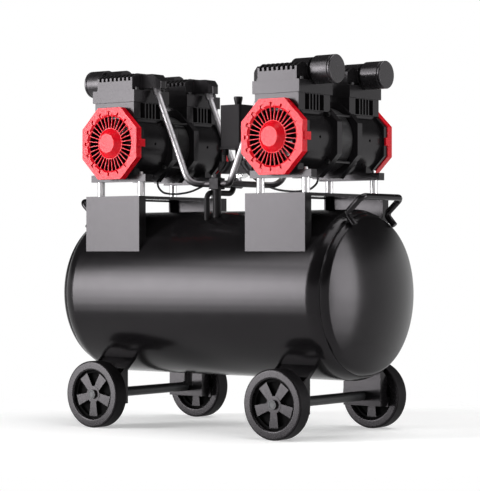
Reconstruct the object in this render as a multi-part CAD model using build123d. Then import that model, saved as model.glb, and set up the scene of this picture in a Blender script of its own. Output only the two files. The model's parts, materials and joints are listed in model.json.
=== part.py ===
from build123d import *
import os
from math import atan2, cos, pi, radians, sin, sqrt, tan

# Oil-free workshop air compressor: a wheeled tank that carries two twin-head pumps.
# Millimetres. The floor is z = 0, X runs along the tank, Y across it, +Z is up.

# Tank
TANK_RADIUS = 160.0
TANK_WALL = 3.0
TANK_SEAM = 306.4
SHOULDER_LENGTH = 26.0
SHOULDER_DROP = 8.0
DOME_DEPTH = 42.5
DOME_KNUCKLE = 16.0
DOME_STEP = 1.5
TANK_CLEARANCE = 102.2

# Wheels, axles and legs
WHEEL_RADIUS = 65.0
WHEEL_WIDTH = 32.0
WHEEL_BASE = 437.8
OVERALL_WIDTH = 352.0
TYRE_WALL = 18.0
RIM_WALL = 5.0
RIM_INSET = 8.0
TYRE_CORNER = 4.0
SPOKE_COUNT = 5
SPOKE_INSET = 6.0
SPOKE_ROOT = 13.0
SPOKE_TIP = 21.0
SPOKE_SINK = 0.5
WEB_WALL = 3.0
BOSS_WALL = 10.0
AXLE_END_RADIUS = 6.0
AXLE_TUBE_RADIUS = 9.5
AXLE_CAP_LENGTH = 5.0
AXLE_CAP_WALL = 3.0
LEG_WIDTH = 86.0
LEG_WALL = 3.0
LEG_INSIDE = 116.0
LEG_FLANGE = 23.0
LEG_TOE = 24.0
LEG_BELOW_AXLE = 19.0
LEG_KNEE_DROP = 20.0
LEG_OUTER_KNEE = 10.0

# Handles
HANDLE_BAR_RADIUS = 6.0
HANDLE_SPAN = 132.0
HANDLE_FOOT_OUT = 20.0
HANDLE_KNEE_OUT = 1.5
HANDLE_FOOT_DROP = 19.0
HANDLE_GRIP_OUT = 34.0
HANDLE_GRIP_RISE = 31.0
HANDLE_KNEE_BEND = 9.0
HANDLE_GRIP_BEND = 12.0

# Saddles and pump feet
SADDLE_WIDTH = 137.0
SADDLE_LENGTH = 276.0
SADDLE_RISE = 29.3
SADDLE_WALL = 3.0
SADDLE_LIP = 3.0
SADDLE_FLANGE = 20.0
POST_RADIUS = 7.5
POST_HEIGHT = 28.5
POST_SPACING_X = 104.0
POST_SPACING_Y = 224.0
POST_BOLT_RADIUS = 4.0
POST_BOLT_HEIGHT = 5.0

# Pump positions and lengths along the shaft
PUMP_PITCH = 394.8
SHAFT_ABOVE_FOOT = 74.4
PUMP_LENGTH = 296.0
CYLINDER_OFFSET = 82.0

# Motor
STATOR_LENGTH = 52.0
STATOR_RADIUS = 62.0
ROTOR_RADIUS = 33.4
AIR_GAP = 0.6
WINDING_LENGTH = 15.0
WINDING_DEPTH = 8.5
WINDING_INSET = 4.0
SHAFT_RADIUS = 7.5
CRANK_SHAFT_RADIUS = 6.0
BEARING_RADIUS = 17.5
BEARING_WIDTH = 11.0
BEARING_SPACE = 4.0
MOTOR_FLANGE_WIDTH = 146.0
MOTOR_FLANGE_DEPTH = 15.0
TIE_ROD_RADIUS = 3.0
TIE_NUT_RADIUS = 4.6
TIE_NUT_LENGTH = 5.0
TIE_ROD_ANGLE = 39.0
TIE_ROD_GAP = 1.2

# Crankcases
DRUM_RADIUS = 63.0
DRUM_WALL = 5.0
END_FLANGE_DEPTH = 10.0
END_FLANGE_STEP = 2.0
DECK_HEIGHT = 48.6
DECK_WIDTH = 92.0
DECK_DEPTH = 15.0
FOOT_WIDTH = 140.0
FOOT_LENGTH = 18.0
FOOT_HEIGHT = 14.0
FOOT_NECK_WIDTH = 80.0
SIDE_HOLE_RADIUS = 3.0

# Crank, rods and pistons
STROKE = 14.0
ECCENTRIC_WALL = 1.5
ECCENTRIC_WIDTH = 12.0
BIG_END_WALL = 5.0
BIG_END_WIDTH = 10.0
ROD_WIDTH = 16.0
PISTON_HEIGHT = 9.0
PISTON_SEAL_HEIGHT = 2.0
PISTON_RETAINER = 2.0
PISTON_BOSS_RADIUS = 8.0
PISTON_RELIEF = 1.0
TOP_CLEARANCE = 1.5

# Cylinders
BORE_RADIUS = 26.0
LINER_WALL = 7.0
CYLINDER_WIDTH = 100.0
CYLINDER_HEIGHT = 32.0
CYLINDER_PLATE = 1.4
COLUMN_WIDTH = 20.0
CYLINDER_FIN_COUNT = 4
CYLINDER_FIN_PITCH = 10.0
CYLINDER_FIN_WALL = 3.4

# Heads
HEAD_FLANGE_WIDTH = 107.0
HEAD_FLANGE_HEIGHT = 23.8
HEAD_BLOCK_WIDTH = 89.5
HEAD_BLOCK_LENGTH = 98.0
HEAD_BLOCK_HEIGHT = 18.0
HEAD_FIN_COUNT = 9
HEAD_FIN_WALL = 4.6
HEAD_FIN_LOW = 6.5
HEAD_FIN_RISE = 8.4
HEAD_FIN_SLOPE = 16.0
HEAD_FIN_SINK = 1.0
HEAD_BOLT_RADIUS = 4.0
HEAD_BOLT_HEIGHT = 5.0
HEAD_BOLT_SPACING = 80.0

# Intake hoods and filters
HOOD_RADIUS = 24.0
HOOD_ABOVE_BLOCK = 1.2
HOOD_INSIDE = 34.0
HOOD_OUTSIDE = 5.0
NECK_RADIUS = 13.0
NECK_LENGTH = 8.0
FILTER_RADIUS = 26.5
FILTER_LENGTH = 43.6
FILTER_LID = 7.0
FILTER_GROOVE_WIDTH = 1.6
FILTER_GROOVE_DEPTH = 1.2
FILTER_EDGE = 1.5

# Discharge elbows and pipes
ELBOW_REACH = 39.0
ELBOW_WIDTH = 46.0
ELBOW_TIP_WIDTH = 27.0
ELBOW_TIP_ROUND = 11.0
ELBOW_FLOOR = 3.6
ELBOW_HEIGHT = 27.6
ELBOW_BEVEL = 14.0
PIPE_RADIUS = 6.0
PIPE_COLLAR_RADIUS = 8.0
PIPE_COLLAR_LENGTH = 13.0
PIPE_FROM_BLOCK = 20.0
PIPE_KNEE_X = 50.0
PIPE_KNEE_BEND = 26.0
PIPE_JOIN_X = 30.0
PIPE_JOIN_BEND = 12.0
REAR_PIPE_TURN = 26.0
HEADER_ABOVE_TANK = 51.8
HEADER_Y = -58.0

# Check valve and control manifold
CROSS_SIZE = 22.0
CHECK_RISER_RADIUS = 8.0
CHECK_CAP_RADIUS = 8.5
CHECK_CAP_HEIGHT = 8.0
CONTROL_PIPE_RADIUS = 5.5
CONTROL_PIPE_X = -15.0
CONTROL_PIPE_Y = -70.0
CONTROL_PIPE_ABOVE_TANK = 34.8
CONTROL_PIPE_BEND = 14.0
MANIFOLD_LENGTH = 80.0
MANIFOLD_DEPTH = 26.0
MANIFOLD_HEIGHT = 24.0
MANIFOLD_ABOVE_HEADER = 22.0
PLUG_RADIUS = 8.0
PLUG_LENGTH = 8.0
NIPPLE_RADIUS = 8.0
NIPPLE_LENGTH = 23.0

# Pressure switch
SWITCH_WIDTH = 50.0
SWITCH_LENGTH = 53.0
SWITCH_HEIGHT = 86.0
SWITCH_BASE = 4.0
SWITCH_WALL = 2.5
SWITCH_FRONT = 17.0
SWITCH_CORNER = 4.0
CONTACT_WIDTH = 30.0
CONTACT_LENGTH = 30.0
CONTACT_HEIGHT = 38.0
KNOB_RADIUS = 8.8
KNOB_WAIST = 6.2
KNOB_HEIGHT = 17.0
KNOB_STEM_RADIUS = 4.0
KNOB_STEM_LENGTH = 22.0
KNOB_FLARE = 13.0
KNOB_EDGE = 1.0
GLAND_RADIUS = 6.0
GLAND_LENGTH = 12.0
GLAND_X = 18.0
GLAND_Y = -8.0

# Gauge, safety valve, outlet valve and drain
GAUGE_RADIUS = 20.0
GAUGE_DEPTH = 20.0
GAUGE_WALL = 2.0
GAUGE_DIAL = 12.0
GAUGE_STEM_RADIUS = 5.0
GAUGE_STEM_LENGTH = 9.0
GAUGE_PIN_RADIUS = 1.0
GAUGE_PIN_LENGTH = 4.0
NEEDLE_LENGTH = 13.0
NEEDLE_TAIL = 5.0
NEEDLE_WIDTH = 1.6
NEEDLE_HEIGHT = 0.8
NEEDLE_HUB_RADIUS = 2.4
NEEDLE_ZERO = 135.0
SERVICE_SPACING = 44.0
SAFETY_HEX_RADIUS = 8.0
SAFETY_HEX_LENGTH = 10.0
SAFETY_BODY_RADIUS = 6.0
SAFETY_BODY_LENGTH = 16.0
SAFETY_STEM_RADIUS = 1.6
SAFETY_STEM_DEPTH = 8.0
SAFETY_STEM_OUT = 5.0
SAFETY_RING_RADIUS = 9.0
SAFETY_WIRE_RADIUS = 1.3
OUTLET_RADIUS = 11.0
OUTLET_LENGTH = 38.0
OUTLET_STEM_RADIUS = 3.0
OUTLET_STEM_HEIGHT = 8.0
OUTLET_BORE = 5.0
OUTLET_BORE_DEPTH = 18.0
COUPLER_RADIUS = 9.0
COUPLER_LENGTH = 20.0
LEVER_LENGTH = 44.0
LEVER_WIDTH = 10.0
LEVER_THICKNESS = 3.0
DRAIN_X = -118.0
DRAIN_RADIUS = 8.0
DRAIN_LENGTH = 16.0
DRAIN_STEM_RADIUS = 3.0
DRAIN_STEM_DEPTH = 6.0
DRAIN_KEY_LENGTH = 22.0
DRAIN_KEY_WIDTH = 4.0
DRAIN_KEY_HEIGHT = 8.0

# Cooling fans and fan covers
FAN_TIP_GAP = 2.0
FAN_LENGTH = 20.0
FAN_HUB_WALL = 8.0
FAN_BLADE_COUNT = 9
FAN_BLADE_WALL = 2.0
FAN_BLADE_PITCH = 32.0
FAN_FROM_GRILLE = 7.0
COVER_WIDTH = 140.0
COVER_DEPTH = 15.0
COVER_FACE = 4.0
COVER_HOLLOW = 62.0
GRILLE_RADIUS = 53.0
GRILLE_BEVEL = 4.0
GRILLE_BAR_COUNT = 32
GRILLE_BAR_WIDTH = 1.6
GRILLE_BAR_DEPTH = 2.6
GRILLE_HUB_RADIUS = 30.5
GRILLE_DISC_RADIUS = 18.8
GRILLE_HUB_RISE = 12.0
NOTCH_COUNT = 16
NOTCH_WIDTH = 7.0
NOTCH_LENGTH = 6.0
NOTCH_DEPTH = 2.6
CLIP_HEIGHT = 15.0
CLIP_WALL = 4.0
CLIP_REACH = 9.0

# Motor leads
LEAD_RADIUS = 2.0
LEAD_BEND_SHARE = 0.45
LEAD_DROP = 18.1
# Points along the lead: X, Y and the height above the saddles.
LEAD_ROUTE = [
    (182.0, -2.0, 9.5),
    (150.0, -4.0, 5.5),
    (106.0, -6.0, 9.5),
    (66.0, -8.0, 24.0),
    (36.0, -8.0, 44.0),
    (18.0, -8.0, 62.0),
]

# Fits
RUNNING_FIT = 0.05
PRESS_GAP = 0.02
SEAT_GAP = 0.3
SLIDE_GAP = 0.4
LINK_GAP = 0.6

# Worked-out places
TANK_AXIS = TANK_CLEARANCE + TANK_RADIUS
TANK_TOP = TANK_AXIS + TANK_RADIUS
SEAM_RADIUS = TANK_RADIUS - SHOULDER_DROP
DOME_RADIUS = SEAM_RADIUS - DOME_STEP
AXLE_X = WHEEL_BASE / 2
WHEEL_OUTSIDE = OVERALL_WIDTH / 2
SADDLE_TOP = TANK_TOP + SADDLE_RISE
PUMP_X = PUMP_PITCH / 2
FOOT_BOTTOM = SADDLE_TOP + POST_HEIGHT
SHAFT_Z = FOOT_BOTTOM + SHAFT_ABOVE_FOOT
PUMP_END = PUMP_LENGTH / 2
COVER_BACK = PUMP_END - COVER_DEPTH
STATOR_END = STATOR_LENGTH / 2
STATOR_BORE = ROTOR_RADIUS + AIR_GAP
DRUM_BORE = DRUM_RADIUS - DRUM_WALL
BEARING_START = STATOR_END + WINDING_LENGTH + BEARING_SPACE
BEARING_END = BEARING_START + BEARING_WIDTH
CRANK_THROW = STROKE / 2
ECCENTRIC_RADIUS = CRANK_SHAFT_RADIUS + CRANK_THROW + ECCENTRIC_WALL
BIG_END_BORE = ECCENTRIC_RADIUS + STROKE + LINK_GAP
CYLINDER_TOP = DECK_HEIGHT + CYLINDER_HEIGHT
CYLINDER_NEAR = CYLINDER_OFFSET - CYLINDER_WIDTH / 2
HEAD_FLANGE_TOP = CYLINDER_TOP + HEAD_FLANGE_HEIGHT
HEAD_BLOCK_TOP = HEAD_FLANGE_TOP + HEAD_BLOCK_HEIGHT
HOOD_Z = HEAD_BLOCK_TOP + HOOD_ABOVE_BLOCK
HOOD_END = HEAD_BLOCK_WIDTH / 2 + HOOD_OUTSIDE
FILTER_START = HOOD_END + NECK_LENGTH
ELBOW_BOTTOM = HEAD_FLANGE_TOP + ELBOW_FLOOR
PIPE_TOP_X = PUMP_X - HEAD_BLOCK_WIDTH / 2 - PIPE_FROM_BLOCK
PIPE_TOP_Z = SHAFT_Z + ELBOW_BOTTOM
HEADER_Z = TANK_TOP + HEADER_ABOVE_TANK
MANIFOLD_BOTTOM = HEADER_Z + MANIFOLD_ABOVE_HEADER
MANIFOLD_Z = MANIFOLD_BOTTOM + MANIFOLD_HEIGHT / 2
MANIFOLD_TOP = MANIFOLD_BOTTOM + MANIFOLD_HEIGHT
SWITCH_BOTTOM = MANIFOLD_TOP + NIPPLE_LENGTH
SWITCH_TOP = SWITCH_BOTTOM + SWITCH_HEIGHT
SWITCH_Y = SWITCH_LENGTH / 2 - SWITCH_FRONT
NIPPLE_Y = MANIFOLD_DEPTH / 2
GAUGE_X = -SERVICE_SPACING / 2
OUTLET_X = SERVICE_SPACING / 2
GAUGE_BACK = MANIFOLD_DEPTH + GAUGE_STEM_LENGTH
DIAL_Y = GAUGE_BACK + GAUGE_DIAL
NEEDLE_Y = DIAL_Y + GAUGE_PIN_LENGTH / 2
SAFETY_START = MANIFOLD_LENGTH / 2
SAFETY_END = SAFETY_START + SAFETY_HEX_LENGTH + SAFETY_BODY_LENGTH
OUTLET_END = MANIFOLD_DEPTH + OUTLET_LENGTH
LEVER_Y = MANIFOLD_DEPTH + OUTLET_LENGTH / 2
LEVER_Z = MANIFOLD_Z + OUTLET_RADIUS + OUTLET_STEM_HEIGHT
GRILLE_FACE = PUMP_END - COVER_FACE
FAN_END = GRILLE_FACE - GRILLE_BAR_DEPTH - FAN_FROM_GRILLE
FAN_RADIUS = DECK_HEIGHT - FAN_TIP_GAP
ENDS = {"front": -1, "rear": 1}
SIDES = {"left": -1, "right": 1}

nodes = {}


# Shared shapes

def block(x0, x1, y0, y1, z0, z1):
    centre = Pos((x0 + x1) / 2, (y0 + y1) / 2, (z0 + z1) / 2)
    return centre * Box(x1 - x0, y1 - y0, z1 - z0)


def rod_x(radius, x0, x1, y=0.0, z=0.0):
    return Pos((x0 + x1) / 2, y, z) * Rot(0, 90, 0) * Cylinder(radius, x1 - x0)


def rod_y(radius, y0, y1, x=0.0, z=0.0):
    return Pos(x, (y0 + y1) / 2, z) * Rot(90, 0, 0) * Cylinder(radius, y1 - y0)


def rod_z(radius, z0, z1, x=0.0, y=0.0):
    return Pos(x, y, (z0 + z1) / 2) * Cylinder(radius, z1 - z0)


def along_y(sketch, y0, y1):
    return Pos(0, y0, 0) * Rot(-90, 0, 0) * extrude(sketch, y1 - y0)


def octagon(width, y0, y1):
    return along_y(RegularPolygon(width / 2, 8, major_radius=False, rotation=22.5), y0, y1)


def hexagon(radius):
    return RegularPolygon(radius, 6)


def profile_x(points, x0, x1):
    face = make_face(Polyline(*points, close=True))
    return Pos(x0, 0, 0) * extrude(Plane.YZ * face, x1 - x0)


def tube_along(points, radii, radius):
    path = FilletPolyline(*points, radius=radii)
    start = Plane(path @ 0, z_dir=path % 0)
    return sweep(start * Circle(radius), path=path)


def mirror_x(shape):
    return mirror(shape, about=Plane.YZ)


def mirror_y(shape):
    return mirror(shape, about=Plane.XZ)


def placed(shape, side, end="rear"):
    """Put a piece drawn for the rear end of a pump, shaft at the origin, into the machine."""
    turned = mirror_y(shape) if end == "front" else shape
    lifted = Pos(PUMP_X, 0, SHAFT_Z) * turned
    return mirror_x(lifted) if side == "left" else lifted


def group(shapes):
    solids = []
    for shape in shapes:
        solids.extend(shape.solids())
    return Compound(children=solids)


def tank_height(y):
    return sqrt(TANK_RADIUS ** 2 - y ** 2)


def tank_space(gap=SEAT_GAP):
    return rod_x(TANK_RADIUS + gap, -TANK_SEAM, TANK_SEAM, z=TANK_AXIS)


# Tank

def tank_shell():
    straight = TANK_SEAM - SHOULDER_LENGTH
    inner = TANK_RADIUS - TANK_WALL
    inner_seam = SEAM_RADIUS - TANK_WALL
    outline = [
        Line((-straight, TANK_RADIUS), (straight, TANK_RADIUS)),
        TangentArc((straight, TANK_RADIUS), (TANK_SEAM, SEAM_RADIUS), tangent=(1, 0)),
        Line((TANK_SEAM, SEAM_RADIUS), (TANK_SEAM, inner_seam)),
        TangentArc((straight, inner), (TANK_SEAM, inner_seam), tangent=(1, 0)),
        Line((straight, inner), (-straight, inner)),
        TangentArc((-straight, inner), (-TANK_SEAM, inner_seam), tangent=(-1, 0)),
        Line((-TANK_SEAM, inner_seam), (-TANK_SEAM, SEAM_RADIUS)),
        TangentArc((-straight, TANK_RADIUS), (-TANK_SEAM, SEAM_RADIUS), tangent=(-1, 0)),
    ]
    shell = revolve(make_face(outline), axis=Axis.X)
    return Pos(0, 0, TANK_AXIS) * shell


def dome_crown():
    """Crown radius of the dished end that meets the knuckle without a kink."""
    shoulder = DOME_RADIUS - DOME_KNUCKLE
    return (DOME_DEPTH ** 2 + shoulder ** 2 - DOME_KNUCKLE ** 2) / (2 * (DOME_DEPTH - DOME_KNUCKLE))


def dome_arcs(inset):
    """Knuckle arc and crown arc of the dished end, a wall's inset inside the outer face."""
    crown = dome_crown()
    shoulder = DOME_RADIUS - DOME_KNUCKLE
    join_angle = atan2(shoulder, crown - DOME_DEPTH)
    knuckle_middle = (join_angle + pi / 2) / 2
    centre_x = TANK_SEAM + DOME_DEPTH - crown
    small = DOME_KNUCKLE - inset
    large = crown - inset
    knuckle = [
        (TANK_SEAM + small * cos(angle), shoulder + small * sin(angle))
        for angle in (pi / 2, knuckle_middle, join_angle)
    ]
    dish = [(centre_x + large * cos(angle), large * sin(angle)) for angle in (join_angle, join_angle / 2, 0)]
    return [ThreePointArc(*knuckle), ThreePointArc(*dish)]


def tank_end():
    outline = dome_arcs(0) + dome_arcs(TANK_WALL)
    outline.append(Line((TANK_SEAM, DOME_RADIUS), (TANK_SEAM, DOME_RADIUS - TANK_WALL)))
    apex = TANK_SEAM + DOME_DEPTH
    outline.append(Line((apex, 0), (apex - TANK_WALL, 0)))
    return Pos(0, 0, TANK_AXIS) * revolve(make_face(outline), axis=Axis.X)


# Legs, axles and wheels

def leg():
    """Channel-shaped leg of the rear right wheel, open towards the wheel."""
    toe = LEG_INSIDE - LEG_TOE
    knee = TANK_AXIS - tank_height(toe) - LEG_KNEE_DROP
    foot = WHEEL_RADIUS - LEG_BELOW_AXLE
    outside = LEG_INSIDE + LEG_FLANGE
    outer_knee = knee - LEG_OUTER_KNEE
    outer_top = outer_knee + (outside - toe) * LEG_KNEE_DROP / LEG_TOE
    shape = [
        (LEG_INSIDE, foot),
        (outside, foot),
        (outside, outer_knee),
        (toe, outer_top),
        (toe, knee + LEG_KNEE_DROP),
        (LEG_INSIDE, knee),
    ]
    hollow = [
        (LEG_INSIDE + LEG_WALL, foot - LEG_WALL),
        (outside + LEG_WALL, foot - LEG_WALL),
        (outside + LEG_WALL, TANK_AXIS + LEG_WALL),
        (toe + LEG_WALL, TANK_AXIS + LEG_WALL),
        (toe + LEG_WALL, knee + LEG_KNEE_DROP + LEG_WALL),
        (LEG_INSIDE + LEG_WALL, knee + LEG_WALL),
    ]
    half = LEG_WIDTH / 2
    channel = profile_x(shape, AXLE_X - half, AXLE_X + half)
    channel -= profile_x(hollow, AXLE_X - half + LEG_WALL, AXLE_X + half - LEG_WALL)
    channel -= tank_space()
    hole_end = LEG_INSIDE + LEG_WALL + SEAT_GAP
    channel -= rod_y(AXLE_END_RADIUS + SEAT_GAP, 0, hole_end, AXLE_X, WHEEL_RADIUS)
    return channel


def axle():
    end = WHEEL_OUTSIDE - SLIDE_GAP
    tube_end = LEG_INSIDE - SEAT_GAP
    bar = rod_y(AXLE_END_RADIUS, -end, end, AXLE_X, WHEEL_RADIUS)
    return bar + rod_y(AXLE_TUBE_RADIUS, -tube_end, tube_end, AXLE_X, WHEEL_RADIUS)


def axle_cap():
    outside = WHEEL_OUTSIDE - SLIDE_GAP
    inside = outside - AXLE_CAP_LENGTH + SLIDE_GAP
    cap = rod_y(AXLE_END_RADIUS + AXLE_CAP_WALL, inside, outside, AXLE_X, WHEEL_RADIUS)
    return cap - rod_y(AXLE_END_RADIUS + PRESS_GAP, inside, outside, AXLE_X, WHEEL_RADIUS)


def tyre():
    section = Pos(WHEEL_RADIUS - TYRE_WALL / 2, 0) * RectangleRounded(TYRE_WALL, WHEEL_WIDTH, TYRE_CORNER)
    middle = WHEEL_OUTSIDE - WHEEL_WIDTH / 2
    ring = revolve(section, axis=Axis.Y)
    bead = rod_y(WHEEL_RADIUS - TYRE_WALL, -WHEEL_WIDTH, WHEEL_WIDTH)
    return Pos(AXLE_X, middle, WHEEL_RADIUS) * (ring - bead)


def wheel_hub():
    rim = WHEEL_RADIUS - TYRE_WALL - PRESS_GAP
    rim_bore = rim - RIM_WALL
    boss = AXLE_END_RADIUS + BOSS_WALL
    half = WHEEL_WIDTH / 2
    wheel = rod_y(rim, -half + RIM_INSET, half - RIM_INSET)
    wheel -= rod_y(rim_bore, -half, half)
    boss_end = half - AXLE_CAP_LENGTH - SLIDE_GAP
    wheel += rod_y(boss, -half + RIM_INSET, boss_end)
    tip = rim_bore + SPOKE_SINK
    wheel += rod_y(tip, -WEB_WALL / 2, WEB_WALL / 2)
    spoke_shape = make_face(Polyline(
        (boss - BOSS_WALL / 2, -SPOKE_ROOT / 2),
        (tip, -SPOKE_TIP / 2),
        (tip, SPOKE_TIP / 2),
        (boss - BOSS_WALL / 2, SPOKE_ROOT / 2),
        close=True,
    ))
    for turn in range(SPOKE_COUNT):
        angle = 90 + 360 * turn / SPOKE_COUNT
        spoke = along_y(Rot(0, 0, angle) * spoke_shape, -half + SPOKE_INSET, half - SPOKE_INSET)
        wheel += spoke
    wheel -= rod_y(AXLE_END_RADIUS + RUNNING_FIT, -half, half)
    return Pos(AXLE_X, WHEEL_OUTSIDE - half, WHEEL_RADIUS) * wheel


# Handles

def handle():
    """Bent bar that lies on the right-hand dome and stands up into a grip."""
    half = HANDLE_SPAN / 2
    foot_x = TANK_SEAM + HANDLE_FOOT_OUT
    knee_x = TANK_SEAM + HANDLE_KNEE_OUT
    out = HANDLE_FOOT_OUT - HANDLE_KNEE_OUT
    foot_length = sqrt(out ** 2 + HANDLE_FOOT_DROP ** 2)
    clear = DOME_KNUCKLE + HANDLE_BAR_RADIUS + SEAT_GAP
    rise = (clear * foot_length - HANDLE_KNEE_OUT * HANDLE_FOOT_DROP) / out
    knee_ring = DOME_RADIUS - DOME_KNUCKLE + rise
    foot_ring = knee_ring - HANDLE_FOOT_DROP
    knee_z = TANK_AXIS + sqrt(knee_ring ** 2 - half ** 2)
    foot_z = TANK_AXIS + sqrt(foot_ring ** 2 - half ** 2)
    grip_x = knee_x + HANDLE_GRIP_OUT
    grip_z = knee_z + HANDLE_GRIP_RISE
    points = [
        (foot_x, -half, foot_z),
        (knee_x, -half, knee_z),
        (grip_x, -half, grip_z),
        (grip_x, half, grip_z),
        (knee_x, half, knee_z),
        (foot_x, half, foot_z),
    ]
    bends = [HANDLE_KNEE_BEND, HANDLE_GRIP_BEND, HANDLE_GRIP_BEND, HANDLE_KNEE_BEND]
    return tube_along(points, bends, HANDLE_BAR_RADIUS)


# Saddles

def saddle():
    half_x = SADDLE_WIDTH / 2
    half_y = SADDLE_LENGTH / 2
    window_y = half_y - SADDLE_FLANGE
    under = SADDLE_TOP - SADDLE_WALL
    shape = block(-half_x, half_x, -half_y, half_y, TANK_AXIS, SADDLE_TOP)
    shape -= block(
        -half_x + SADDLE_WALL, half_x - SADDLE_WALL,
        -half_y + SADDLE_WALL, half_y - SADDLE_WALL,
        TANK_AXIS, under,
    )
    shape -= block(-half_x, half_x, -window_y, window_y, TANK_AXIS, under - SADDLE_LIP)
    return Pos(PUMP_X, 0, 0) * shape - tank_space()


def posts():
    """Pump feet standing on the saddles, each with its bolt head above the pump's foot."""
    pieces = []
    foot_top = FOOT_BOTTOM + FOOT_HEIGHT
    for pump_x in (-PUMP_X, PUMP_X):
        for x in (-POST_SPACING_X / 2, POST_SPACING_X / 2):
            for y in (-POST_SPACING_Y / 2, POST_SPACING_Y / 2):
                pieces.append(rod_z(POST_RADIUS, SADDLE_TOP, FOOT_BOTTOM, pump_x + x, y))
                bolt = extrude(hexagon(POST_BOLT_RADIUS), POST_BOLT_HEIGHT)
                pieces.append(Pos(pump_x + x, y, foot_top) * bolt)
    return group(pieces)


# Pump castings, each drawn for the rear end with the shaft axis at the origin

def tie_rod_places():
    reach = DRUM_RADIUS + TIE_NUT_RADIUS + TIE_ROD_GAP
    across = reach * cos(radians(TIE_ROD_ANGLE))
    up = reach * sin(radians(TIE_ROD_ANGLE))
    return [(x, z) for x in (-across, across) for z in (-up, up)]


def crankcase():
    case = rod_y(DRUM_RADIUS, STATOR_END, COVER_BACK)
    case += octagon(MOTOR_FLANGE_WIDTH, STATOR_END, STATOR_END + MOTOR_FLANGE_DEPTH)
    end_width = COVER_WIDTH - 2 * END_FLANGE_STEP
    case += octagon(end_width, COVER_BACK - END_FLANGE_DEPTH, COVER_BACK)
    half_deck = DECK_WIDTH / 2
    deck_start = STATOR_END + MOTOR_FLANGE_DEPTH
    deck_end = COVER_BACK - END_FLANGE_DEPTH
    case += block(-half_deck, half_deck, deck_start, deck_end, DECK_HEIGHT - DECK_DEPTH, DECK_HEIGHT)
    foot_y = POST_SPACING_Y / 2
    foot_near = foot_y - FOOT_LENGTH / 2
    foot_far = foot_y + FOOT_LENGTH / 2
    foot_top = FOOT_HEIGHT - SHAFT_ABOVE_FOOT
    half_foot = FOOT_WIDTH / 2
    half_neck = FOOT_NECK_WIDTH / 2
    case += block(-half_foot, half_foot, foot_near, foot_far, -SHAFT_ABOVE_FOOT, foot_top)
    case += block(-half_neck, half_neck, foot_near, foot_far, -SHAFT_ABOVE_FOOT, -DRUM_BORE / 2)
    seat_start = CYLINDER_NEAR - SLIDE_GAP
    case -= block(-COVER_WIDTH, COVER_WIDTH, seat_start, PUMP_END, DECK_HEIGHT, COVER_WIDTH)
    case -= rod_y(DRUM_BORE, STATOR_END, BEARING_START)
    case -= rod_y(DRUM_BORE, BEARING_END, COVER_BACK)
    case -= rod_y(BEARING_RADIUS + PRESS_GAP, BEARING_START, BEARING_END)
    case -= rod_x(SIDE_HOLE_RADIUS, -DRUM_RADIUS, DRUM_RADIUS, CYLINDER_OFFSET)
    for x, z in tie_rod_places():
        flange_end = STATOR_END + MOTOR_FLANGE_DEPTH
        case -= rod_y(TIE_ROD_RADIUS + SEAT_GAP, STATOR_END, flange_end, x, z)
    return case


def stator():
    stack = rod_y(STATOR_RADIUS, -STATOR_END, STATOR_END)
    stack -= rod_y(STATOR_BORE, -STATOR_END, STATOR_END)
    inner = STATOR_BORE + WINDING_INSET
    pieces = [stack]
    for start in (STATOR_END, -STATOR_END - WINDING_LENGTH):
        coil = rod_y(inner + WINDING_DEPTH, start, start + WINDING_LENGTH)
        pieces.append(coil - rod_y(inner, start, start + WINDING_LENGTH))
    return group(pieces)


def rotor():
    crank_near = CYLINDER_OFFSET - ECCENTRIC_WIDTH / 2
    crank_far = CYLINDER_OFFSET + ECCENTRIC_WIDTH / 2
    shaft = rod_y(ROTOR_RADIUS, -STATOR_END, STATOR_END)
    shaft += rod_y(SHAFT_RADIUS, -BEARING_END, BEARING_END)
    shaft += rod_y(CRANK_SHAFT_RADIUS, -FAN_END, FAN_END)
    shaft += rod_y(ECCENTRIC_RADIUS, crank_near, crank_far, x=CRANK_THROW)
    shaft += rod_y(ECCENTRIC_RADIUS, -crank_far, -crank_near, x=-CRANK_THROW)
    return shaft


def bearing():
    ring = rod_y(BEARING_RADIUS, BEARING_START, BEARING_END)
    return ring - rod_y(SHAFT_RADIUS + RUNNING_FIT, BEARING_START, BEARING_END)


def cooling_fan():
    start = FAN_END - FAN_LENGTH
    hub_radius = CRANK_SHAFT_RADIUS + FAN_HUB_WALL
    fan = rod_y(hub_radius, start, FAN_END)
    middle = (start + FAN_END) / 2
    blade_height = FAN_RADIUS - hub_radius / 2
    blade_length = (FAN_LENGTH - FAN_BLADE_WALL) / cos(radians(FAN_BLADE_PITCH))
    blade_centre = (FAN_RADIUS + hub_radius / 2) / 2
    envelope = rod_y(FAN_RADIUS, start, FAN_END)
    for turn in range(FAN_BLADE_COUNT):
        angle = 360 * turn / FAN_BLADE_COUNT
        flat = Box(FAN_BLADE_WALL, blade_length, blade_height)
        blade = Pos(0, middle, blade_centre) * Rot(0, 0, FAN_BLADE_PITCH) * flat
        fan += (Rot(0, angle, 0) * blade) & envelope
    return fan - rod_y(CRANK_SHAFT_RADIUS + PRESS_GAP, start, FAN_END)


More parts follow.
